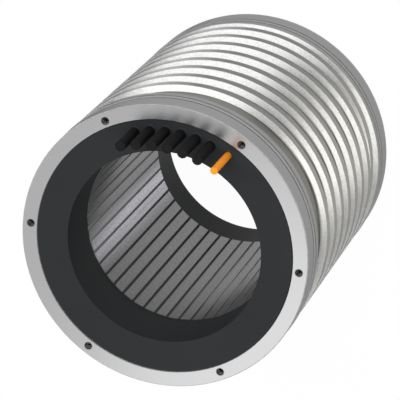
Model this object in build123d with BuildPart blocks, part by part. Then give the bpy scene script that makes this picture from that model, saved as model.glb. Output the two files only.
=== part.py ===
from build123d import *
import os
from math import cos, radians, sin, tan

# Stator of a frameless motor in its liquid-cooled jacket, in millimetres.
# The axis is Z. The rear end face stands on Z = 0 and the leads come out of the front face on top.

# Jacket
jacket_diameter = 200.0
jacket_length = 234.5
jacket_bore = 178.0
outer_chamfer = 0.6
bore_chamfer = 0.7

# Coolant channel: a ring channel with one spiral rib in it
end_land_length = 26.9
channel_depth = 5.0
rib_width = 6.7
rib_pitch = 20.55
rib_start_angle = 110.6
rib_start_setback = 9.4
main_rib_sweep = 2563.0
rib_gap_sweep = 24.0
end_rib_sweep = 233.0
run_back_sweep = 90.0
run_back_travel = 19.8

# Seals
seal_cord = 5.3
seal_groove_width = 6.6
seal_groove_setback = 14.8
seal_squeeze = 0.3
seal_clearance = 0.03

# Tapped holes: six M6 in the front face, six M5 in the rear face
hole_circle = 188.0
hole_count = 6
front_core_hole_diameter = 5.0
rear_core_hole_diameter = 4.2
hole_depth = 12.0

# Lamination stack
bore_diameter = 134.0
stack_length = 162.5
rear_overhang = 30.8
slot_count = 48
tooth_width = 4.7
slot_opening = 1.9
tooth_tip_thickness = 1.0
tooth_shoulder = 1.5
slot_bottom_radius = 80.0

# Slot insulation
liner_thickness = 0.25
wedge_recess = 0.35
wedge_clearance = 0.05
wedge_height = 3.0

# Winding: 24 coils in one layer, one tier of end turns for each phase
phases = ("u", "v", "w")
coils_per_phase = 8
coil_span = 3
first_slot = 2
leg_clearance = 0.05
leg_wedge_gap = 0.2
end_turn_inner_radius = 81.0
end_turn_width = 7.0
end_turn_height = 6.5
end_turn_corner = 2.0
first_tier_gap = 2.5
tier_gap = 1.0

# Connection rings over the front winding end
ring_inner_radius = 69.5
ring_width = 1.8
ring_spacing = 2.8
ring_height = 5.0
ring_gap = 1.0
tab_width = 4.0
tab_thickness = 1.5

# Leads and sensor
lead_diameter = 7.1
lead_core_diameter = 4.5
lead_core_length = 1.5
lead_circle_radius = 81.4
lead_stub_length = 31.2
lead_end_round = 0.8
lead_count = 6
lead_centre_angle = -90.0
sensor_angle = -118.0
sensor_circle_radius = 82.4
sensor_bead_diameter = 4.6
sensor_bead_length = 8.0
sensor_lead_diameter = 5.0
sensor_stub_length = 34.0
sensor_seat_gap = 0.1

# Potting over both winding ends
potting_bore = 135.2
potting_recess = 0.4

# Derived radii, heights and angles
jacket_radius = jacket_diameter / 2
core_radius = jacket_bore / 2
bore_radius = bore_diameter / 2
floor_radius = jacket_radius - channel_depth
core_top = rear_overhang + stack_length
slot_pitch = 360 / slot_count
pocket_start_radius = bore_radius + wedge_height
leg_inner_radius = pocket_start_radius + leg_wedge_gap
end_turn_outer_radius = end_turn_inner_radius + end_turn_width
tier_pitch = end_turn_height + tier_gap
winding_height = first_tier_gap + len(phases) * end_turn_height + (len(phases) - 1) * tier_gap
ring_bottom = core_top + winding_height + ring_gap
tab_bottom = ring_bottom + ring_height + ring_gap
lead_angles = [lead_centre_angle + (lead_count / 2 - 0.5 - i) * slot_pitch for i in range(lead_count)]


def half_slot(radius):
    """Half the width of a slot between two parallel-sided teeth, at a distance from the axis."""
    half_pitch = radians(slot_pitch / 2)
    return radius * tan(half_pitch) - tooth_width / 2 / cos(half_pitch)


def trapezoid(inner, outer, inset):
    """Corners of a section that follows the slot walls at a distance inside them."""
    narrow = half_slot(inner) - inset
    wide = half_slot(outer) - inset
    return [(inner, -narrow), (outer, -wide), (outer, wide), (inner, narrow)]


# Coolant channel

def rib_depth(sweep):
    """Distance of the rib's front edge from the front face, at an angle along the rib."""
    run_back_start = main_rib_sweep + rib_gap_sweep + end_rib_sweep - run_back_sweep
    run_back = max(0.0, sweep - run_back_start) / run_back_sweep
    start = end_land_length + rib_start_setback
    return start + rib_pitch * sweep / 360 - run_back_travel * run_back**2


def rib_corner(sweep, radius, setback):
    angle = radians(rib_start_angle - sweep)
    return (radius * cos(angle), radius * sin(angle), jacket_length - rib_depth(sweep) - setback)


def spiral_rib(start, stop):
    """Rib between two angles, taller than the channel and sunk below its floor."""
    inner = floor_radius - 1.5
    outer = jacket_radius + 2.0
    corners = [(inner, 0), (outer, 0), (outer, rib_width), (inner, rib_width)]
    steps = round((stop - start) / 12)
    sweeps = [start + (stop - start) * i / steps for i in range(steps + 1)]
    curves = [Spline(*[rib_corner(s, radius, setback) for s in sweeps]) for radius, setback in corners]
    sides = [Face.make_surface_from_curves(curves[i], curves[(i + 1) % 4]) for i in range(4)]
    ends = [Face(Wire.make_polygon([rib_corner(s, *corner) for corner in corners])) for s in (start, stop)]
    return Solid(Shell(sides + ends))


end_rib_start = main_rib_sweep + rib_gap_sweep
main_rib = spiral_rib(0, main_rib_sweep)
end_rib = spiral_rib(end_rib_start, end_rib_start + end_rib_sweep)

with BuildPart() as coolant_channel:
    with BuildSketch(Plane.XY.offset(end_land_length)):
        Circle(jacket_radius + 1.0)
        Circle(floor_radius, mode=Mode.SUBTRACT)
    extrude(amount=jacket_length - 2 * end_land_length)
    add(main_rib, mode=Mode.SUBTRACT)
    add(end_rib, mode=Mode.SUBTRACT)


# Cooling jacket

seal_groove_centres = (
    seal_groove_setback + seal_groove_width / 2,
    jacket_length - seal_groove_setback - seal_groove_width / 2,
)
seal_centre_radius = jacket_radius + seal_squeeze - seal_cord / 2
seal_groove_floor = seal_centre_radius - seal_cord / 2 - seal_clearance

with BuildPart() as cooling_jacket:
    with BuildSketch(Plane.XZ):
        with BuildLine():
            Polyline(
                (core_radius + bore_chamfer, 0),
                (jacket_radius - outer_chamfer, 0),
                (jacket_radius, outer_chamfer),
                (jacket_radius, jacket_length - outer_chamfer),
                (jacket_radius - outer_chamfer, jacket_length),
                (core_radius + bore_chamfer, jacket_length),
                (core_radius, jacket_length - bore_chamfer),
                (core_radius, bore_chamfer),
                close=True,
            )
        make_face()
    revolve(axis=Axis.Z)
    add(coolant_channel.part, mode=Mode.SUBTRACT)
    for centre in seal_groove_centres:
        with BuildSketch(Plane.XY.offset(centre)):
            Circle(jacket_radius + 1.0)
            Circle(seal_groove_floor, mode=Mode.SUBTRACT)
        extrude(amount=seal_groove_width / 2, both=True, mode=Mode.SUBTRACT)
    for end_plane, core_hole_diameter in (
        (Plane.XY.offset(jacket_length), front_core_hole_diameter),
        (-Plane.XY, rear_core_hole_diameter),
    ):
        with Locations(end_plane):
            with PolarLocations(hole_circle / 2, hole_count):
                Hole(core_hole_diameter / 2, depth=hole_depth)


# Seals

def seal(height):
    with BuildPart() as ring:
        with BuildSketch(Plane.XZ):
            with Locations((seal_centre_radius, height)):
                Circle(seal_cord / 2)
        revolve(axis=Axis.Z)
    return ring.part


rear_seal, front_seal = [seal(height) for height in seal_groove_centres]


# Lamination stack

with BuildSketch() as slot_outline:
    tip = bore_radius + tooth_tip_thickness
    shoulder = tip + tooth_shoulder
    with BuildLine():
        Polyline(
            (bore_radius - 1.0, -slot_opening / 2),
            (tip, -slot_opening / 2),
            (shoulder, -half_slot(shoulder)),
            (slot_bottom_radius, -half_slot(slot_bottom_radius)),
            (slot_bottom_radius, half_slot(slot_bottom_radius)),
            (shoulder, half_slot(shoulder)),
            (tip, slot_opening / 2),
            (bore_radius - 1.0, slot_opening / 2),
            close=True,
        )
    make_face()

with BuildPart() as stator_core:
    with BuildSketch(Plane.XY.offset(rear_overhang)):
        Circle(core_radius)
        Circle(bore_radius, mode=Mode.SUBTRACT)
        with PolarLocations(0, slot_count, start_angle=slot_pitch / 2):
            add(slot_outline.sketch, mode=Mode.SUBTRACT)
    extrude(amount=stack_length)


# Slot insulation

with BuildSketch() as liner_outline:
    Polygon(*trapezoid(pocket_start_radius, slot_bottom_radius, 0), align=None)
    Polygon(
        *trapezoid(pocket_start_radius - 1, slot_bottom_radius - liner_thickness, liner_thickness),
        align=None,
        mode=Mode.SUBTRACT,
    )

with BuildPart() as slot_liners:
    with BuildSketch(Plane.XY.offset(rear_overhang)):
        with PolarLocations(0, slot_count, start_angle=slot_pitch / 2):
            add(liner_outline.sketch)
    extrude(amount=stack_length)

with BuildSketch() as wedge_outline:
    with BuildLine():
        mouth = slot_opening / 2 - wedge_clearance
        inner_half = half_slot(shoulder) - wedge_clearance
        outer_half = half_slot(pocket_start_radius) - wedge_clearance
        Polyline(
            (bore_radius + wedge_recess, -mouth),
            (tip + wedge_clearance, -mouth),
            (shoulder + wedge_clearance, -inner_half),
            (pocket_start_radius, -outer_half),
            (pocket_start_radius, outer_half),
            (shoulder + wedge_clearance, inner_half),
            (tip + wedge_clearance, mouth),
            (bore_radius + wedge_recess, mouth),
            close=True,
        )
    make_face()

with BuildPart() as slot_wedges:
    with BuildSketch(Plane.XY.offset(rear_overhang)):
        with PolarLocations(0, slot_count, start_angle=slot_pitch / 2):
            add(wedge_outline.sketch)
    extrude(amount=stack_length)


# Winding

leg_inset = liner_thickness + leg_clearance
leg_outer_radius = slot_bottom_radius - leg_inset
coil_angle = coil_span * slot_pitch

with BuildSketch() as leg_outline:
    Polygon(*trapezoid(leg_inner_radius, leg_outer_radius, leg_inset), align=None)

with BuildSketch() as end_turn_outline:
    leg_half_width = half_slot(leg_outer_radius) - leg_inset
    reach = 2 * end_turn_outer_radius
    Circle(end_turn_outer_radius)
    Circle(end_turn_inner_radius, mode=Mode.SUBTRACT)
    sector_edge = (reach * cos(radians(coil_angle)), reach * sin(radians(coil_angle)))
    Polygon((0, 0), (reach, 0), sector_edge, align=None, mode=Mode.INTERSECT)
    with PolarLocations(0, 2, start_angle=0, angular_range=2 * coil_angle):
        with Locations(((leg_inner_radius + end_turn_outer_radius) / 2, 0)):
            Rectangle(end_turn_outer_radius - leg_inner_radius, 2 * leg_half_width)
    Circle(end_turn_outer_radius, mode=Mode.INTERSECT)
    fillet(
        [v for v in end_turn_outline.vertices() if abs(v.center().length - end_turn_outer_radius) < 0.01],
        radius=end_turn_corner,
    )


def phase_coil(tier):
    """One coil of a phase, with its first leg on the X axis and its end turns in that phase's tier."""
    height = first_tier_gap + tier * tier_pitch
    rear = rear_overhang - height - end_turn_height
    front = core_top + height
    with BuildPart() as coil:
        for level in (rear, front):
            with BuildSketch(Plane.XY.offset(level)):
                add(end_turn_outline.sketch)
            extrude(amount=end_turn_height)
        with BuildSketch(Plane.XY.offset(rear)):
            with PolarLocations(0, 2, start_angle=0, angular_range=2 * coil_angle):
                add(leg_outline.sketch)
        extrude(amount=front + end_turn_height - rear)
    return coil.part


coils = {}
for tier, phase in enumerate(phases):
    pattern = phase_coil(tier)
    for i in range(coils_per_phase):
        slot = first_slot + 2 * coil_span * i + (coil_span - 1) * tier
        coils[f"coil_{phase}{i + 1}"] = pattern.rotate(Axis.Z, (slot + 0.5) * slot_pitch)


# Connection rings, innermost first: star point, then the phases

def connection_ring(place, tab_angles):
    inner = ring_inner_radius + place * ring_spacing
    with BuildPart() as ring:
        with BuildSketch(Plane.XY.offset(ring_bottom)):
            Circle(inner + ring_width)
            Circle(inner, mode=Mode.SUBTRACT)
        extrude(amount=ring_height)
        for angle in tab_angles:
            with BuildSketch(Plane.XY.offset(ring_bottom + ring_height)):
                with PolarLocations(inner + ring_width / 2, 1, start_angle=angle):
                    Rectangle(ring_width - 0.2, tab_width)
            extrude(amount=ring_gap)
            tab_length = lead_circle_radius - inner
            with BuildSketch(Plane.XY.offset(tab_bottom)):
                with PolarLocations(inner + tab_length / 2, 1, start_angle=angle):
                    Rectangle(tab_length, tab_width)
                with PolarLocations(lead_circle_radius, 1, start_angle=angle):
                    Circle(lead_core_diameter / 2 + 0.5)
            extrude(amount=tab_thickness)
    return ring.part


rings = {"star_ring": connection_ring(0, [])}
for place, phase in enumerate(phases):
    tab_angles = lead_angles[place::len(phases)]
    rings[f"phase_ring_{phase}"] = connection_ring(place + 1, tab_angles)


# Leads and sensor

def winding_lead(angle):
    core_bottom = tab_bottom + tab_thickness
    insulation_bottom = core_bottom + lead_core_length
    with BuildPart() as lead:
        for bottom, top, diameter in (
            (core_bottom, insulation_bottom, lead_core_diameter),
            (insulation_bottom, jacket_length + lead_stub_length, lead_diameter),
        ):
            with BuildSketch(Plane.XY.offset(bottom)):
                with PolarLocations(lead_circle_radius, 1, start_angle=angle):
                    Circle(diameter / 2)
            extrude(amount=top - bottom)
        fillet(lead.edges().sort_by(Axis.Z)[-1], radius=lead_end_round)
    return lead.part


leads = {}
for i, angle in enumerate(lead_angles):
    leads[f"lead_{phases[i % len(phases)]}{i // len(phases) + 1}"] = winding_lead(angle)

sensor_bottom = core_top + winding_height + sensor_seat_gap
sensor_top = sensor_bottom + sensor_bead_length

with BuildPart() as temperature_sensor:
    with BuildSketch(Plane.XY.offset(sensor_bottom)):
        with PolarLocations(sensor_circle_radius, 1, start_angle=sensor_angle):
            Circle(sensor_bead_diameter / 2)
    extrude(amount=sensor_bead_length)

with BuildPart() as sensor_lead:
    with BuildSketch(Plane.XY.offset(sensor_top)):
        with PolarLocations(sensor_circle_radius, 1, start_angle=sensor_angle):
            Circle(sensor_lead_diameter / 2)
    extrude(amount=jacket_length + sensor_stub_length - sensor_top)
    fillet(sensor_lead.edges().sort_by(Axis.Z)[-1], radius=lead_end_round)


# Potting

def potting(bottom, top, embedded):
    with BuildPart() as casting:
        with BuildSketch(Plane.XY.offset(bottom)):
            Circle(core_radius)
            Circle(potting_bore / 2, mode=Mode.SUBTRACT)
        extrude(amount=top - bottom)
        add(embedded, mode=Mode.SUBTRACT)
    return casting.part


wired_pieces = [*coils.values(), *rings.values(), *leads.values(), temperature_sensor.part, sensor_lead.part]
front_potting = potting(core_top, jacket_length - potting_recess, wired_pieces)
rear_potting = potting(potting_recess, rear_overhang, list(coils.values()))


# Labels and files

pieces = {
    "cooling_jacket": cooling_jacket.part,
    "front_seal": front_seal,
    "rear_seal": rear_seal,
    "stator_core": stator_core.part,
    "slot_liners": slot_liners.part,
    "slot_wedges": slot_wedges.part,
    **coils,
    **rings,
    **leads,
    "temperature_sensor": temperature_sensor.part,
    "sensor_lead": sensor_lead.part,
    "front_potting": front_potting,
    "rear_potting": rear_potting,
}

os.makedirs("parts", exist_ok=True)
for name, piece in pieces.items():
    piece.label = name
    export_step(piece, f"parts/{name}.step")
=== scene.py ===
import math

import bmesh
import bpy
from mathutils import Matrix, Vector


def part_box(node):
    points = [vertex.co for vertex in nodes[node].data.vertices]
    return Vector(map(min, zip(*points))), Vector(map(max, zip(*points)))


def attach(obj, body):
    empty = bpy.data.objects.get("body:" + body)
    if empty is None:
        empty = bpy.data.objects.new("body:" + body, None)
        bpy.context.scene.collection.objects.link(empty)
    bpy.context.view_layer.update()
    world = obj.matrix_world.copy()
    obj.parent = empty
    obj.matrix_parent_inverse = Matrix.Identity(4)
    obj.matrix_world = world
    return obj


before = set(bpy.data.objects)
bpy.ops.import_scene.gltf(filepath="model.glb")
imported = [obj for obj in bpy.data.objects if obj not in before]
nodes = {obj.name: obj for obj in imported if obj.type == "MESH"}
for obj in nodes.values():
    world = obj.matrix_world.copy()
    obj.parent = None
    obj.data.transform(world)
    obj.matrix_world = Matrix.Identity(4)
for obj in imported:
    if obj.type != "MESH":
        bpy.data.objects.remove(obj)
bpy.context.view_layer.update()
scene = bpy.context.scene
scene.view_settings.view_transform = "Standard"
print("model loaded:", len(nodes), "nodes")


# camera, fitted to the ellipses of the two end faces in the photo

cameraSetup = {
    "location": (-0.443355, -0.660565, 1.839780),
    "rotation": (-19.2186, 16.4256, -175.0297),  # degrees
    "lens": 241.25,
    "sensor": 36.0,
    "clip": (0.1, 50.0),
}


def addCamera(setup):
    data = bpy.data.cameras.new("photoCamera")
    data.lens = setup["lens"]
    data.sensor_width = setup["sensor"]
    data.clip_start, data.clip_end = setup["clip"]
    camera = bpy.data.objects.new("photoCamera", data)
    camera.location = setup["location"]
    camera.rotation_euler = [math.radians(a) for a in setup["rotation"]]
    scene.collection.objects.link(camera)
    scene.camera = camera


addCamera(cameraSetup)
print("camera set")


# small helpers for material nodes


def setInput(tree, socket, value):
    if isinstance(value, bpy.types.NodeSocket):
        tree.links.new(value, socket)
    else:
        socket.default_value = value


def addNode(tree, kind, inputs=None, **settings):
    made = tree.nodes.new(kind)
    for name, value in settings.items():
        setattr(made, name, value)
    for name, value in (inputs or {}).items():
        setInput(tree, made.inputs[name], value)
    return made


def maths(tree, operation, *values):
    made = addNode(tree, "ShaderNodeMath", dict(enumerate(values)), operation=operation)
    return made.outputs[0]


def chained(tree, operation, first, *others):
    for other in others:
        first = maths(tree, operation, first, other)
    return first


def allOf(tree, *masks):
    return chained(tree, "MULTIPLY", *masks)


def anyOf(tree, *masks):
    return chained(tree, "MAXIMUM", *masks)


def opposite(tree, value):
    return maths(tree, "SUBTRACT", 1.0, value)


def under(tree, value, limit):
    return maths(tree, "LESS_THAN", value, limit)


def over(tree, value, limit):
    return maths(tree, "GREATER_THAN", value, limit)


def apart(tree, first, second):
    return maths(tree, "ABSOLUTE", maths(tree, "SUBTRACT", first, second))


def weighted(tree, *pairs):
    # every value times its weight, added up
    parts = [maths(tree, "MULTIPLY", value, weight) for value, weight in pairs]
    return chained(tree, "ADD", *parts)


def hypotenuse(tree, first, second):
    return maths(tree, "SQRT", weighted(tree, (first, first), (second, second)))


def ramp(tree, value, start, stop, first=0.0, last=1.0, kind="LINEAR"):
    # goes from first to last as the value goes from start to stop, and is level beyond them
    made = addNode(tree, "ShaderNodeMapRange", {
        "Value": value, "From Min": start, "From Max": stop, "To Min": first, "To Max": last,
    }, interpolation_type=kind)
    return made.outputs["Result"]


def spread(tree, value, low, high):
    return ramp(tree, value, 0.0, 1.0, low, high)


def above(tree, value, limit, width):
    # 0 below the limit, 1 above it, with a soft step of the given width
    return ramp(tree, value, limit - width / 2, limit + width / 2, kind="SMOOTHSTEP")


def sideMask(tree, angle, middle, reach):
    # 1 in the middle of one side of the ring, 0 beyond its reach; both angles in degrees
    aside = maths(tree, "SUBTRACT", angle, math.radians(middle))
    aside = maths(tree, "ABSOLUTE", maths(tree, "WRAP", aside, math.pi, -math.pi))
    return ramp(tree, aside, 0.0, math.radians(reach), 1.0, 0.0, "SMOOTHSTEP")


def mixColour(tree, factor, first, second, blendType="MIX"):
    # the colours of a Mix node are its inputs 6 and 7 and its output 2
    first, second = [(*c, 1.0) if isinstance(c, tuple) else c for c in (first, second)]
    made = addNode(tree, "ShaderNodeMix", {0: factor, 6: first, 7: second},
                   data_type="RGBA", blend_type=blendType)
    return made.outputs[2]


def scaled(tree, colour, factor):
    return mixColour(tree, 1.0, colour, factor, "MULTIPLY")


def objectPlace(tree):
    return addNode(tree, "ShaderNodeTexCoord").outputs["Object"]


def ringCoordinates(tree):
    # distance from the axis, height and angle round the axis
    x, y, height = addNode(tree, "ShaderNodeSeparateXYZ", {0: objectPlace(tree)}).outputs
    return hypotenuse(tree, x, y), height, maths(tree, "ARCTAN2", y, x)


def grainNoise(tree, ring, alongRadius, alongHeight, alongAngle, detail):
    # drawn out in the direction with the smallest number, without a seam at half a turn
    radius, height, angle = ring
    vector = addNode(tree, "ShaderNodeCombineXYZ", {
        0: maths(tree, "MULTIPLY", radius, alongRadius),
        1: maths(tree, "MULTIPLY", height, alongHeight),
        2: maths(tree, "MULTIPLY", maths(tree, "ABSOLUTE", angle), alongAngle),
    }).outputs[0]
    return addNode(tree, "ShaderNodeTexNoise", {
        "Vector": vector, "Scale": 1.0, "Detail": detail, "Roughness": 0.6,
    }).outputs["Fac"]


def blobNoise(tree, scale, detail):
    return addNode(tree, "ShaderNodeTexNoise", {
        "Vector": objectPlace(tree), "Scale": scale, "Detail": detail, "Roughness": 0.55,
    }).outputs["Fac"]


def addBump(tree, shader, height, strength, distance):
    bump = addNode(tree, "ShaderNodeBump", {
        "Height": height, "Strength": strength, "Distance": distance,
    })
    setInput(tree, shader.inputs["Normal"], bump.outputs[0])


def addGrain(tree, shader, finish, colour, noise):
    # the noise makes the colour lighter and darker, and stands out as bumps
    toned = scaled(tree, colour, spread(tree, noise, *finish["tone"]))
    setInput(tree, shader.inputs["Base Color"], toned)
    addBump(tree, shader, noise, *finish["bump"])


def startMaterial(name, plain):
    # plain holds the shader's values that are the same all over the surface
    material = bpy.data.materials.new(name)
    material.use_nodes = True
    shader = material.node_tree.nodes["Principled BSDF"]
    for socket, value in plain.items():
        shader.inputs[socket].default_value = value
    return material, material.node_tree, shader


def dress(material, *names):
    for name in names:
        for slot in nodes[name].material_slots:
            slot.material = material


# In the dictionaries below, a grain is its stretch along radius, height and angle and its
# detail, a blob pattern is its scale and detail, a side is its angle and reach in degrees,
# and a bump is its strength and its distance in metres.


# cooling jacket: ground lands, turned channel and faced ends

jacketFinish = {
    # colours
    "land": (0.38, 0.38, 0.382),
    "endFace": (0.44, 0.44, 0.446),
    "channelFloor": (0.26, 0.255, 0.24),  # darker than the lands, as painted shade down in the channel
    "ribTop": (0.28, 0.28, 0.28),
    # pale metal, painted much lighter than the end faces as a painted highlight
    "channelWall": (0.95, 0.95, 0.94),
    "wallFootShade": (0.13, 0.122, 0.105),  # painted shade in the corner at the foot of the rib
    "rim": (0.42, 0.42, 0.42),
    "groove": (0.46, 0.46, 0.46),  # sides of the seal grooves
    "recessShade": (0.13, 0.13, 0.13),  # painted shade inside the tapped holes, and on the channel floor by the rib
    "worn": (0.80, 0.80, 0.81),  # bare bright metal on rubbed edges
    "mouthShade": (0.10, 0.10, 0.10),  # painted shade round the edge of a tapped hole

    # shader values: a quarter turn draws highlights out across the turning grooves
    "plain": {"Specular Tint": (0.40, 0.40, 0.40, 1.0), "Anisotropic Rotation": 0.25},

    # sides of the jacket
    "ribTopHighlight": [
        # where the rib tops get a painted highlight, with its colour
        (-164.0, 60.0, (0.44, 0.43, 0.405)),
        (-68.0, 25.0, (0.64, 0.64, 0.64)),
    ],
    "wallFootShadeSide": (-154.0, 37.0),
    "shadedSide": (-54.5, 16.0),  # where the whole outside gets a painted shade, a little darker

    # shares
    "sideShadeShare": 0.25,
    "footShadeShare": 0.85,
    "wornShare": 0.3,
    "mouthShadeShare": 0.75,

    # tone, roughness and metal
    "turnedTone": 0.17,  # how much lighter or darker the turned metal gets
    "milledTone": 0.3,
    "groundTone": 0.16,  # how much of the turned tone the ground end faces have
    "toneWeights": (0.3, 0.2, 0.5),  # of the fine grain, the broad grain and the speckle
    "landRoughness": 0.345,
    "faceRoughness": 0.27,
    "wallRoughness": 0.44,
    "uneven": 0.07,  # how far the roughness goes up and down
    "groundUneven": 0.1,  # how much of that the end faces have
    "wornPolish": 0.1,  # how much smoother worn edges are
    "wallMetal": 0.8,  # the milled rib sides are paler and duller than the turned surfaces; their pale colour is partly a painted highlight
    "edgeMetal": 0.4,  # the same for the rims and the groove sides
    "landPull": 0.85,  # how strongly the turning grooves draw a highlight out
    "wallPull": 0.97,

    # grain
    "fine": (9000.0, 9000.0, 2.0, 3.0),
    "broad": (900.0, 900.0, 1.5, 3.0),
    "mottle": (800.0, 800.0, 62.0, 4.0),
    "speckle": (1100.0, 3.0),
    "chips": (260.0, 4.0),
    "chipRange": (0.35, 0.65),
    "fineDepth": (0.05, 0.012),  # of the fine grain in the bump, on turned surfaces and end faces
    "bump": (0.5, 0.0002),

    # limits and widths in metres; a limit lies a little off the surface that it marks
    "landRadius": 0.0998,
    "landDepth": 0.0004,
    "floorRadius": 0.0951,
    "floorDepth": 0.0006,
    "channelMargin": 0.0007,
    "grooveReach": 0.0036,  # from the middle of a seal groove to just past its sides
    "grooveRadius": 0.0915,
    "faceDepth": 0.0001,
    "rimDepth": 0.00062,
    "rimRadius": 0.0994,
    "wearWidth": 0.0003,
    "footShadeWidth": 0.0038,
    "wallFootShadeHeight": (0.0006, 0.0014),  # above the channel floor, where the painted shade thins out and ends
    "holeRadius": 0.0026,
    "holeDepth": 0.0125,
    "mouthWidth": 0.00035,

    # forms that repeat the CAD model's
    "channelReach": 0.0269,  # from either end face to the channel
    "holeCircle": 0.094,
    "holeCount": 6,
    "rib": {
        "start": 0.0363,
        "startAngle": 110.6,
        "pitch": 0.02055,
        "width": 0.0067,
        "gap": (2563 / 360, 2587 / 360),  # turns after which the rib stops and begins again
        "runBack": 2730 / 360,
    },

    "flatStep": (0.6, 0.2),  # z of the normal at which a face turns flat, and the width of the change
}
sealBoxes = [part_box(name) for name in ("front_seal", "rear_seal")]
sealMiddles = [(low[2] + high[2]) / 2 for low, high in sealBoxes]
jacketLow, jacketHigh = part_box("cooling_jacket")


def fromRibEdge(tree, rib, depth, angle):
    # distance along the axis to the spiral rib's nearest edge, or over a metre where it has none
    turned = maths(tree, "SUBTRACT", math.radians(rib["startAngle"]), angle)
    turned = maths(tree, "MULTIPLY", turned, rib["pitch"] / (2 * math.pi))
    half = rib["pitch"] / 2
    stops, again = rib["gap"]
    edges = []
    for setback in (0.0, rib["width"]):
        along = maths(tree, "SUBTRACT", depth, rib["start"] + setback)
        nearest = maths(tree, "WRAP", maths(tree, "SUBTRACT", along, turned), half, -half)
        turns = maths(tree, "DIVIDE", maths(tree, "SUBTRACT", along, nearest), rib["pitch"])
        inGap = under(tree, apart(tree, turns, (stops + again) / 2), (again - stops) / 2)
        missing = anyOf(tree, under(tree, turns, 0.0), inGap, over(tree, turns, rib["runBack"]))
        edges.append(maths(tree, "ADD", maths(tree, "ABSOLUTE", nearest), missing))
    return maths(tree, "MINIMUM", *edges)


def fromHoleCentre(tree, radius, angle, circle, count):
    side = maths(tree, "WRAP", angle, math.pi / count, -math.pi / count)
    across = maths(tree, "MULTIPLY", radius, maths(tree, "COSINE", side))
    across = maths(tree, "SUBTRACT", across, circle)
    along = maths(tree, "MULTIPLY", radius, maths(tree, "SINE", side))
    return hypotenuse(tree, across, along)


def jacketZones(tree, ring, finish, grooveMiddles, frontHeight):
    # masks for the kinds of surface on the jacket; those with a colour have its name
    radius, height, angle = ring
    depth = maths(tree, "SUBTRACT", frontHeight, height)
    fromEnd = maths(tree, "MINIMUM", height, depth)
    normal = addNode(tree, "ShaderNodeNewGeometry").outputs["Normal"]
    normalZ = addNode(tree, "ShaderNodeSeparateXYZ", {0: normal}).outputs[2]
    flat = above(tree, maths(tree, "ABSOLUTE", normalZ), *finish["flatStep"])
    curved = opposite(tree, flat)

    # channel and rib
    belowLand = under(tree, radius, finish["landRadius"])
    overFloor = over(tree, radius, finish["floorRadius"] - finish["floorDepth"])
    inChannel = over(tree, fromEnd, finish["channelReach"] - finish["channelMargin"])
    onFloor = allOf(tree, curved, inChannel, under(tree, radius, finish["floorRadius"]))
    onTop = allOf(tree, curved, inChannel, opposite(tree, belowLand))
    ribSide = allOf(tree, flat, belowLand, inChannel, overFloor)
    ground = allOf(tree, flat, opposite(tree, ribSide))

    # seal grooves and tapped holes
    fromSeal = maths(tree, "MINIMUM", *[apart(tree, height, middle) for middle in grooveMiddles])
    inGroove = allOf(tree, under(tree, fromSeal, finish["grooveReach"]), belowLand,
                     over(tree, radius, finish["grooveRadius"]))
    fromHole = fromHoleCentre(tree, radius, angle, finish["holeCircle"], finish["holeCount"])
    inHole = allOf(tree, over(tree, fromEnd, finish["faceDepth"]),
                   under(tree, fromEnd, finish["holeDepth"]),
                   under(tree, fromHole, finish["holeRadius"]))
    onMouth = allOf(tree, under(tree, fromEnd, finish["faceDepth"]),
                    under(tree, fromHole, finish["holeRadius"] + finish["mouthWidth"]))

    # worn edges: rib tops, channel ends and outer rims
    ribEdge = fromRibEdge(tree, finish["rib"], depth, angle)
    channelEnd = apart(tree, fromEnd, finish["channelReach"])
    onRib = allOf(tree, under(tree, ribEdge, finish["wearWidth"]), inChannel)
    onEdge = anyOf(tree, onRib, under(tree, channelEnd, finish["wearWidth"]))
    outside = over(tree, radius, finish["landRadius"] - finish["landDepth"])
    onEdge = allOf(tree, onEdge, outside)
    onRim = allOf(tree, under(tree, fromEnd, finish["rimDepth"]),
                  over(tree, radius, finish["rimRadius"]))
    chips = ramp(tree, blobNoise(tree, *finish["chips"]), *finish["chipRange"],
                 last=finish["wornShare"])

    # painted shade beside the rib: at its foot on the channel floor, and low on its side
    footShade = allOf(tree, onFloor,
                 ramp(tree, ribEdge, 0.0, finish["footShadeWidth"], finish["footShadeShare"], 0.0))
    thins, ends = [finish["floorRadius"] + rise for rise in finish["wallFootShadeHeight"]]
    wallFootShade = allOf(tree, ribSide, sideMask(tree, angle, *finish["wallFootShadeSide"]),
                  ramp(tree, radius, thins, ends, 1.0, 0.0))

    return {
        "endFace": flat,
        "channelFloor": onFloor,
        "ribTop": onTop,
        "channelWall": ribSide,
        "wallFootShade": wallFootShade,
        "rim": onRim,
        "groove": inGroove,
        "recessShade": anyOf(tree, inHole, footShade),
        "worn": allOf(tree, anyOf(tree, onEdge, onRim), chips),
        "mouthShade": allOf(tree, onMouth, finish["mouthShadeShare"]),
        "ground": ground,
        "sideShade": allOf(tree, sideMask(tree, angle, *finish["shadedSide"]), opposite(tree, ground), overFloor),
    }


def jacketColour(tree, angle, finish, zones):
    # each colour goes over those before it, so the order counts
    colour = finish["land"]
    for zone in ("endFace", "channelFloor", "ribTop"):
        colour = mixColour(tree, zones[zone], colour, finish[zone])
    # painted highlights on the rib tops, at two sides
    for middle, reach, highlightColour in finish["ribTopHighlight"]:
        ribTopHighlight = allOf(tree, zones["ribTop"], sideMask(tree, angle, middle, reach))
        colour = mixColour(tree, ribTopHighlight, colour, highlightColour)
    for zone in ("channelWall", "wallFootShade", "rim", "groove", "recessShade", "worn", "mouthShade"):
        colour = mixColour(tree, zones[zone], colour, finish[zone])
    return colour


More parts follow.
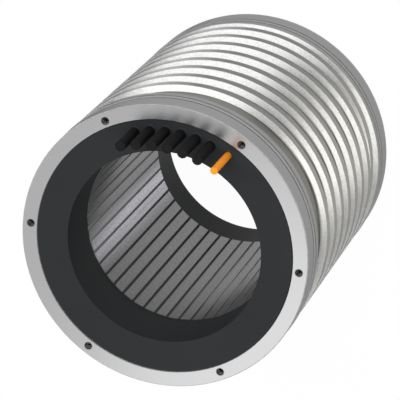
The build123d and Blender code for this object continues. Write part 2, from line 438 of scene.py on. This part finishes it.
def turnedAluminium(finish, grooveMiddles, frontHeight):
    material, tree, shader = startMaterial("turnedAluminium", finish["plain"])
    ring = ringCoordinates(tree)
    zones = jacketZones(tree, ring, finish, grooveMiddles, frontHeight)
    ground, ribSide = zones["ground"], zones["channelWall"]

    # colour
    fine = grainNoise(tree, ring, *finish["fine"])
    broad = grainNoise(tree, ring, *finish["broad"])
    mottle = grainNoise(tree, ring, *finish["mottle"])
    speckle = blobNoise(tree, *finish["speckle"])
    tone = weighted(tree, *zip((fine, broad, speckle), finish["toneWeights"]))
    turnedTone = allOf(tree, spread(tree, tone, -finish["turnedTone"], finish["turnedTone"]),
                       spread(tree, ground, 1.0, finish["groundTone"]))
    milledTone = allOf(tree, spread(tree, mottle, -finish["milledTone"], finish["milledTone"]),
                       ribSide)
    grain = maths(tree, "ADD", 1.0, maths(tree, "ADD", turnedTone, milledTone))
    # painted shade: the outside is darker on one side
    grain = allOf(tree, grain, spread(tree, zones["sideShade"], 1.0, 1.0 - finish["sideShadeShare"]))
    colour = jacketColour(tree, ring[2], finish, zones)
    setInput(tree, shader.inputs["Base Color"], scaled(tree, colour, grain))

    # roughness
    gloss = spread(tree, zones["endFace"], finish["landRoughness"], finish["faceRoughness"])
    gloss = anyOf(tree, gloss, maths(tree, "MULTIPLY", ribSide, finish["wallRoughness"]))
    uneven = allOf(tree, spread(tree, speckle, -finish["uneven"], finish["uneven"]),
                   spread(tree, ground, 1.0, finish["groundUneven"]))
    polish = maths(tree, "MULTIPLY", zones["worn"], finish["wornPolish"])
    gloss = maths(tree, "SUBTRACT", maths(tree, "ADD", gloss, uneven), polish)
    setInput(tree, shader.inputs["Roughness"], gloss)

    # metal and the pull of the turning grooves
    edges = anyOf(tree, zones["rim"], zones["groove"])
    paler = anyOf(tree, maths(tree, "MULTIPLY", ribSide, 1 - finish["wallMetal"]),
                  maths(tree, "MULTIPLY", edges, 1 - finish["edgeMetal"]))
    setInput(tree, shader.inputs["Metallic"], opposite(tree, paler))
    pull = allOf(tree, spread(tree, ribSide, finish["landPull"], finish["wallPull"]),
                 opposite(tree, ground))
    setInput(tree, shader.inputs["Anisotropic"], pull)
    tangent = addNode(tree, "ShaderNodeTangent", direction_type="RADIAL", axis="Z")
    setInput(tree, shader.inputs["Tangent"], tangent.outputs[0])

    tooled = weighted(tree, (fine, spread(tree, ground, *finish["fineDepth"])), (mottle, ribSide))
    addBump(tree, shader, tooled, *finish["bump"])
    return material


dress(turnedAluminium(jacketFinish, sealMiddles, jacketHigh[2]), "cooling_jacket")
print("jacket dressed")


# lamination stack: thin sheets whose edges form the bore

stackFinish = {
    "sheet": (0.20, 0.20, 0.205),
    "boreHighlight": (0.60, 0.60, 0.65),  # a strip of the bore painted brighter, a painted highlight
    "boreHighlightSide": (25.5, 15.5),
    "boreHighlightShare": (0.6, 1.0),
    "plain": {"Metallic": 0.9, "Specular Tint": (0.80, 0.80, 0.80, 1.0)},
    "sheetEdges": (0.0, 4000.0, 0.5, 1.0),  # two waves for each sheet of 0.5 mm
    "speckle": (0.0, 420.0, 60.0, 4.0),
    "speckleRange": (0.35, 0.65),
    "honing": (0.0, 6.0, 10.0, 5.0),
    "honingRange": (0.3, 0.7),
    "toneWeights": (0.15, 0.50, 0.35),  # of the sheet edges, the speckle and the honing
    "tone": (0.52, 1.48),
    "roughness": (0.26, 0.42),
    "bump": (0.5, 0.00006),
}


def groundLaminations(finish):
    material, tree, shader = startMaterial("groundLaminations", finish["plain"])
    ring = ringCoordinates(tree)
    sheets = grainNoise(tree, ring, *finish["sheetEdges"])
    speckle = ramp(tree, grainNoise(tree, ring, *finish["speckle"]), *finish["speckleRange"])
    honing = ramp(tree, grainNoise(tree, ring, *finish["honing"]), *finish["honingRange"])
    # painted highlight: a lighter strip down one side of the bore
    highlightStrip = allOf(tree, sideMask(tree, ring[2], *finish["boreHighlightSide"]),
                  spread(tree, honing, *finish["boreHighlightShare"]))
    tone = weighted(tree, *zip((sheets, speckle, honing), finish["toneWeights"]))
    colour = mixColour(tree, highlightStrip, finish["sheet"], finish["boreHighlight"])
    colour = scaled(tree, colour, spread(tree, tone, *finish["tone"]))
    setInput(tree, shader.inputs["Base Color"], colour)
    setInput(tree, shader.inputs["Roughness"], spread(tree, honing, *finish["roughness"]))
    addBump(tree, shader, sheets, *finish["bump"])
    return material


dress(groundLaminations(stackFinish), "stator_core")
print("lamination stack dressed")


# slot wedges and liners

wedgeFinish = {
    "glassEpoxy": (0.011, 0.011, 0.012),
    "wedgeGlint": (0.34, 0.34, 0.348),
    "glintSides": [
        # sides where the wedges get a painted highlight, with the heights where it fades and ends
        (108.0, 25.0, 0.140, 0.175),
        (15.0, 29.0, 0.250, 0.285),
    ],
    "plain": {"Roughness": 0.6, "Specular IOR Level": 0.08, "Sheen Weight": 1.0, "Sheen Roughness": 0.3},
    "fibre": (3000.0, 120.0, 900.0, 3.0),
    "tone": (0.7, 1.3),
    "bump": (0.2, 0.00003),
}
linerFinish = {
    "paper": (0.62, 0.55, 0.38),
    "plain": {"Roughness": 0.75},
    "fibre": (900.0, 4.0),
    "tone": (0.8, 1.2),
    "bump": (0.15, 0.00003),
}


def wedgeStrip(finish):
    material, tree, shader = startMaterial("wedgeStrip", finish["plain"])
    ring = ringCoordinates(tree)
    height, angle = ring[1:]
    # painted highlight on the wedges at two sides of the bore
    glinted = [
        allOf(tree, sideMask(tree, angle, middle, reach), ramp(tree, height, thins, ends, 1.0, 0.0))
        for middle, reach, thins, ends in finish["glintSides"]
    ]
    colour = mixColour(tree, anyOf(tree, *glinted), finish["glassEpoxy"], finish["wedgeGlint"])
    addGrain(tree, shader, finish, colour, grainNoise(tree, ring, *finish["fibre"]))
    return material


def slotPaper(finish):
    material, tree, shader = startMaterial("slotPaper", finish["plain"])
    addGrain(tree, shader, finish, finish["paper"], blobNoise(tree, *finish["fibre"]))
    return material


dress(wedgeStrip(wedgeFinish), "slot_wedges")
dress(slotPaper(linerFinish), "slot_liners")
print("slot wedges and liners dressed")


# winding: bundles of enamelled wire, and bare connection rings

wireFinish = {
    "enamel": (0.45, 0.14, 0.045),
    "plain": {"Metallic": 0.7, "Roughness": 0.32, "Coat Weight": 0.4},
    "waves": {"Scale": 0.05 / 0.0009, "Distortion": 1.5, "Detail": 2.0},  # for wire of 0.9 mm
    "tone": (0.55, 1.25),
    "bump": (0.6, 0.0002),
}
barFinish = {
    "copper": (0.72, 0.33, 0.18),
    "plain": {"Metallic": 1.0, "Roughness": 0.3},
    "drawn": (2500.0, 2500.0, 3.0, 3.0),
    "tone": (0.8, 1.15),
    "bump": (0.1, 0.00003),
}


def wireBundle(finish):
    material, tree, shader = startMaterial("wireBundle", finish["plain"])
    wires = addNode(tree, "ShaderNodeTexWave", {"Vector": objectPlace(tree), **finish["waves"]},
                    bands_direction="DIAGONAL").outputs["Fac"]
    addGrain(tree, shader, finish, finish["enamel"], wires)
    return material


def barCopper(finish):
    material, tree, shader = startMaterial("barCopper", finish["plain"])
    drawn = grainNoise(tree, ringCoordinates(tree), *finish["drawn"])
    addGrain(tree, shader, finish, finish["copper"], drawn)
    return material


coilNames = [name for name in nodes if name.startswith("coil_")]
ringNames = [name for name in nodes if "_ring" in name]
dress(wireBundle(wireFinish), *coilNames)
dress(barCopper(barFinish), *ringNames)
print("winding dressed:", len(coilNames), "coils,", len(ringNames), "rings")


# potting: dark cast resin

pottingFinish = {
    "resin": (0.0165, 0.0184, 0.0202),
    "faded": (0.0215, 0.0234, 0.0247),
    "plain": {"Specular IOR Level": 0.08},
    "clouds": (22.0, 3.0),
    "dust": (1400.0, 3.0),
    "roughness": (0.42, 0.6),
    "bump": (0.12, 0.00005),
}


def castResin(finish):
    material, tree, shader = startMaterial("castResin", finish["plain"])
    clouds = blobNoise(tree, *finish["clouds"])
    dust = blobNoise(tree, *finish["dust"])
    colour = mixColour(tree, clouds, finish["resin"], finish["faded"])
    setInput(tree, shader.inputs["Base Color"], colour)
    setInput(tree, shader.inputs["Roughness"], spread(tree, dust, *finish["roughness"]))
    addBump(tree, shader, dust, *finish["bump"])
    return material


resin = castResin(pottingFinish)
dress(resin, "front_potting", "rear_potting")
print("potting dressed")


# leads, sensor and seals

leadFinish = {
    "colour": (0.011, 0.011, 0.0114),
    "plain": {"Specular IOR Level": 0.03},
    "skin": (700.0, 3.0),
    "tone": (0.85, 1.15),
    "roughness": (0.69, 0.81),
    "bump": (0.15, 0.00004),
}
sensorLeadFinish = {
    "colour": (0.84, 0.26, 0.006),
    "plain": {"Specular IOR Level": 0.2},
    "skin": (800.0, 3.0),
    "tone": (0.85, 1.15),
    "roughness": (0.44, 0.56),
    "bump": (0.12, 0.00004),
}
sensorFinish = {
    "colour": (0.70, 0.66, 0.58),
    "plain": {"Specular IOR Level": 0.4},
    "skin": (1500.0, 3.0),
    "tone": (0.85, 1.15),
    "roughness": (0.49, 0.61),
    "bump": (0.2, 0.00004),
}
sealFinish = {
    "colour": (0.30, 0.30, 0.302),  # where the cord stands proud
    "sunk": (0.09, 0.09, 0.09),  # down in its groove, darker as painted shade
    "proudStep": (0.0998, 0.0001),  # radius at which it changes, and the width of the change
    "plain": {"Specular IOR Level": 0.3},
    "skin": (1200.0, 3.0),
    "tone": (0.85, 1.15),
    "roughness": (0.5, 0.62),
    "bump": (0.1, 0.00004),
}


def softSkin(name, finish):
    material, tree, shader = startMaterial(name, finish["plain"])
    colour = finish["colour"]
    # below the proud step the cord takes the sunk colour, a painted shade in its groove
    if "sunk" in finish:
        proud = above(tree, ringCoordinates(tree)[0], *finish["proudStep"])
        colour = mixColour(tree, proud, finish["sunk"], colour)
    skin = blobNoise(tree, *finish["skin"])
    addGrain(tree, shader, finish, colour, skin)
    setInput(tree, shader.inputs["Roughness"], spread(tree, skin, *finish["roughness"]))
    return material


leadNames = [name for name in nodes if name.startswith("lead_")]
dress(softSkin("leadInsulation", leadFinish), *leadNames)
dress(softSkin("sensorInsulation", sensorLeadFinish), "sensor_lead")
dress(softSkin("sealRubber", sealFinish), "front_seal", "rear_seal")
dress(softSkin("sensorBead", sensorFinish), "temperature_sensor")
print("leads, sensor and seals dressed")


# small helpers for the added pieces


def addRow(mesh, x, y, turn, outline):
    # points at one angle round an upright line; the outline has the radius and height of each
    return [mesh.verts.new((x + r * math.cos(turn), y + r * math.sin(turn), z)) for r, z in outline]


def joinRows(mesh, rows):
    for row, following in zip(rows, rows[1:]):
        for k in range(len(row)):
            after = (k + 1) % len(row)
            mesh.faces.new((row[k], row[after], following[after], following[k]))


def finishMesh(mesh, name, material):
    bmesh.ops.recalc_face_normals(mesh, faces=mesh.faces)
    data = bpy.data.meshes.new(name)
    mesh.to_mesh(data)
    mesh.free()
    for face in data.polygons:
        face.use_smooth = True
    data.materials.append(material)
    piece = bpy.data.objects.new(name, data)
    scene.collection.objects.link(piece)
    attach(piece, "root")


# resin collars: the small rise of the potting round each lead

collarFinish = {
    "height": 0.0009,
    "reach": 0.0013,
    "sunk": 0.00008,  # into the lead and into the potting
    "around": 48,
    "steps": 7,
}


def resinCollar(name, floorHeight, finish):
    low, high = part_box(name)
    x, y = (low[0] + high[0]) / 2, (low[1] + high[1]) / 2
    half = (high[0] - low[0]) / 2
    inner, outer = half - finish["sunk"], half + finish["reach"]
    outline = [(inner, floorHeight - finish["sunk"]), (inner, floorHeight + finish["height"])]
    for i in range(finish["steps"] + 1):
        turn = math.radians(90) * i / finish["steps"]
        outline.append((half + finish["reach"] * (1 - math.cos(turn)),
                        floorHeight + finish["height"] * (1 - math.sin(turn))))
    outline.append((outer, floorHeight - finish["sunk"]))
    mesh = bmesh.new()
    turns = [2 * math.pi * i / finish["around"] for i in range(finish["around"])]
    rows = [addRow(mesh, x, y, turn, outline) for turn in turns]
    joinRows(mesh, [*rows, rows[0]])
    finishMesh(mesh, name + "_collar", resin)


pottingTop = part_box("front_potting")[1][2]
for name in [*leadNames, "sensor_lead"]:
    resinCollar(name, pottingTop, collarFinish)
print("resin collars added")


# threads in the tapped holes

threadFinish = {
    # dark, as painted shade down in the tapped holes
    "metal": (0.11, 0.11, 0.11),
    "plain": {"Metallic": 1.0, "Roughness": 0.38},
    "chatter": (2600.0, 3.0),
    "tone": (0.6, 1.4),
    "bump": (0.15, 0.00004),
    "front": {"core": 0.0025, "pitch": 0.001, "turns": 11, "depth": 0.00032},
    "rear": {"core": 0.0021, "pitch": 0.0008, "turns": 14, "depth": 0.00026},
    "circle": jacketFinish["holeCircle"],
    "count": jacketFinish["holeCount"],
    "around": 24,
    "startTurn": 0.6,  # pitches below the face
    "easeSteps": 18,  # over which the thread runs out at either end
    "rootSunk": 0.00003,
    "rootHalf": 0.42,  # half widths of the ridge at its root and at its crest, in pitches
    "crestHalf": 0.08,
}


def cutThread(finish):
    material, tree, shader = startMaterial("cutThread", finish["plain"])
    addGrain(tree, shader, finish, finish["metal"], blobNoise(tree, *finish["chatter"]))
    return material


def ridgeSection(finish, size, ease):
    # the four corners of the ridge, as radius and shift along the axis in pitches
    root = size["core"] + finish["rootSunk"]
    crest = size["core"] - size["depth"] * ease
    wide, narrow = finish["rootHalf"], finish["crestHalf"]
    return (root, -wide), (crest, -narrow), (crest, narrow), (root, wide)


def holeThreads(name, finish, size, faceHeight, inward):
    mesh = bmesh.new()
    steps = size["turns"] * finish["around"]
    for hole in range(finish["count"]):
        side = 2 * math.pi * hole / finish["count"]
        x = finish["circle"] * math.cos(side)
        y = finish["circle"] * math.sin(side)
        rows = []
        for i in range(steps + 1):
            drop = size["pitch"] * (finish["startTurn"] + i / finish["around"])
            ease = min(1.0, i / finish["easeSteps"], (steps - i) / finish["easeSteps"])
            outline = [
                (r, faceHeight + inward * (drop + shift * size["pitch"]))
                for r, shift in ridgeSection(finish, size, ease)
            ]
            rows.append(addRow(mesh, x, y, 2 * math.pi * i / finish["around"], outline))
        joinRows(mesh, rows)
        mesh.faces.new(rows[0])
        mesh.faces.new(rows[-1])
    finishMesh(mesh, name, threadMetal)


threadMetal = cutThread(threadFinish)
holeThreads("front_threads", threadFinish, threadFinish["front"], jacketHigh[2], -1)
holeThreads("rear_threads", threadFinish, threadFinish["rear"], jacketLow[2], 1)
print("threads added")


# floor, world and studio lamps

studio = {
    "floorSize": 12.0,
    "floorDrop": 0.0002,
    "floorColour": (0.88, 0.88, 0.88),
    "floorWhite": 0.97,  # how much of what the camera and reflections see is plain white
    "brightSide": (0.35, 0.5, 0.8),  # direction in which the room is lightest
    "brightEdge": 0.6,  # cosine of the angle from there at which the bright side ends
    "worldDark": 0.22,
    "worldLight": 0.95,
    "lamps": [
        # name, location, aims at, width and height, watts, colour
        ("leftSoftbox", (0.39, -1.07, 1.88), (0.0, 0.0, 0.12), (1.95, 0.52), 33.5, (1.0, 1.0, 1.0)),
        ("rightSoftbox", (-1.04, -0.01, 1.97), (0.0, 0.0, 0.12), (1.2, 0.6), 20.0, (1.0, 0.985, 0.955)),
        ("ringFill", (0.0, 0.29, 0.70), (-0.087, 0.039, 0.2345), (0.3, 0.3), 0.24, (1.0, 1.0, 1.0)),
    ],
}


def addFloor(setup):
    half = setup["floorSize"] / 2
    mesh = bpy.data.meshes.new("studioFloor")
    corners = [(-half, -half, 0), (half, -half, 0), (half, half, 0), (-half, half, 0)]
    mesh.from_pydata(corners, [], [(0, 1, 2, 3)])
    floor = bpy.data.objects.new("studioFloor", mesh)
    floor.location.z = -setup["floorDrop"]
    scene.collection.objects.link(floor)
    material = bpy.data.materials.new("paleFloor")
    material.use_nodes = True
    tree = material.node_tree
    tree.nodes.clear()
    paint = addNode(tree, "ShaderNodeBsdfDiffuse", {"Color": (*setup["floorColour"], 1.0)})
    ray = addNode(tree, "ShaderNodeLightPath").outputs
    seen = anyOf(tree, ray["Is Camera Ray"], ray["Is Glossy Ray"], ray["Is Transmission Ray"])
    white = addNode(tree, "ShaderNodeEmission", {"Color": (1.0, 1.0, 1.0, 1.0), "Strength": 1.0})
    share = maths(tree, "MULTIPLY", seen, setup["floorWhite"])
    surface = addNode(tree, "ShaderNodeMixShader", {
        0: share, 1: paint.outputs[0], 2: white.outputs[0],
    })
    addNode(tree, "ShaderNodeOutputMaterial", {"Surface": surface.outputs[0]})
    floor.data.materials.append(material)


def addWorld(setup):
    world = bpy.data.worlds.new("studioWorld")
    world.use_nodes = True
    tree = world.node_tree
    tree.nodes.clear()
    direction = addNode(tree, "ShaderNodeTexCoord").outputs["Generated"]
    facing = addNode(tree, "ShaderNodeVectorMath", {
        0: direction, 1: Vector(setup["brightSide"]).normalized(),
    }, operation="DOT_PRODUCT").outputs["Value"]
    strength = ramp(tree, facing, setup["brightEdge"], 1.0, setup["worldDark"], setup["worldLight"],
                    "SMOOTHSTEP")
    light = addNode(tree, "ShaderNodeBackground", {
        "Color": (1.0, 1.0, 1.0, 1.0), "Strength": strength,
    })
    addNode(tree, "ShaderNodeOutputWorld", {"Surface": light.outputs[0]})
    scene.world = world


def addLamp(name, location, target, size, watts, colour):
    data = bpy.data.lights.new(name, "AREA")
    data.shape = "RECTANGLE"
    data.size, data.size_y = size
    data.energy = watts
    data.color = colour
    lamp = bpy.data.objects.new(name, data)
    lamp.location = location
    aim = Vector(target) - Vector(location)
    lamp.rotation_euler = aim.to_track_quat("-Z", "Y").to_euler()
    scene.collection.objects.link(lamp)


addFloor(studio)
addWorld(studio)
for lamp in studio["lamps"]:
    addLamp(*lamp)
print("studio set")
